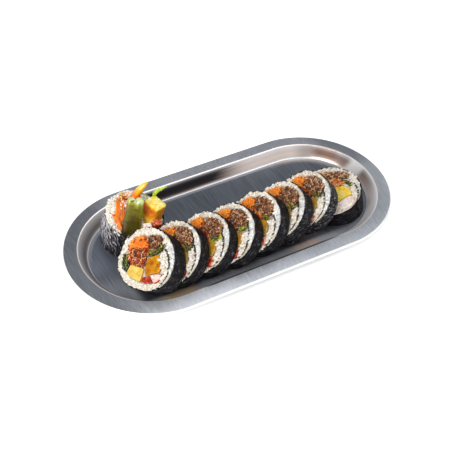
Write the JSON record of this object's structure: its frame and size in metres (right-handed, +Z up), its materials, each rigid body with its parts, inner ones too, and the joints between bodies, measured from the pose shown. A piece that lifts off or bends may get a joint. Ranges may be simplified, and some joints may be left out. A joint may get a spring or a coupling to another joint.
{
  "type": "gimbap on a tray",
  "caption": "Seaweed rice roll cut into leaning slices round seasoned fillings, with a standing end piece, on an obround brushed steel serving tray.",
  "frame": {"origin": "middle of the tray's flat underside", "axes": "+X along the tray, towards the slice that lies flat; +Y across the tray, away from the row of slices; +Z up"},
  "size_m": [0.278, 0.1356, 0.0474],
  "materials": {
    "steel": "brushed stainless steel, satin, with long hairline scratches",
    "nori": "moist roasted seaweed, semi-gloss, creased",
    "rice": "cooked short-grain rice, moist",
    "carrot": "fried shredded carrot, oily",
    "radish": "pickled radish, translucent, wet",
    "egg": "rolled omelette, matt with a fried skin",
    "crab": "crab stick, white with a red skin",
    "ham": "pressed ham, moist",
    "beef": "minced seasoned beef, oily",
    "greens": "blanched greens, wet",
    "shreds": "spicy shreds in red sauce, oily",
    "spinach": "blanched spinach, wet",
    "cucumber": "seasoned cucumber slab, wet, freckled"
  },
  "bodies": {
    "root": {"tray": "steel", "slice_1_nori": "nori", "slice_1_rice": "rice", "slice_1_carrot": "carrot", "slice_1_radish": "radish", "slice_1_egg": "egg", "slice_1_crab": "crab", "slice_1_ham": "ham", "slice_1_beef": "beef", "slice_1_greens": "greens", "slice_1_shreds": "shreds", "slice_1_spinach": "spinach", "slice_2_nori": "nori", "slice_2_rice": "rice", "slice_2_carrot": "carrot", "slice_2_radish": "radish", "slice_2_beef": "beef", "slice_3_nori": "nori", "slice_3_rice": "rice", "slice_3_carrot": "carrot", "slice_3_radish": "radish", "slice_3_beef": "beef", "slice_4_nori": "nori", "slice_4_rice": "rice", "slice_4_carrot": "carrot", "slice_4_radish": "radish", "slice_4_beef": "beef", "slice_5_nori": "nori", "slice_5_rice": "rice", "slice_5_carrot": "carrot", "slice_5_radish": "radish", "slice_5_beef": "beef", "slice_6_nori": "nori", "slice_6_rice": "rice", "slice_6_carrot": "carrot", "slice_6_radish": "radish", "slice_6_beef": "beef", "slice_7_nori": "nori", "slice_7_rice": "rice", "slice_7_carrot": "carrot", "slice_7_radish": "radish", "slice_7_beef": "beef", "slice_8_nori": "nori", "slice_8_rice": "rice", "slice_8_carrot": "carrot", "slice_8_radish": "radish", "slice_8_crab": "crab", "slice_8_beef": "beef", "slice_8_greens": "greens", "slice_8_shreds": "shreds", "end_nori": "nori", "end_rice": "rice", "end_green_slab": "cucumber", "end_egg": "egg", "end_carrot_stick": "carrot", "end_ham": "ham", "end_crab": "crab", "end_carrot_shreds": "carrot"}
  },
  "joints": []
}
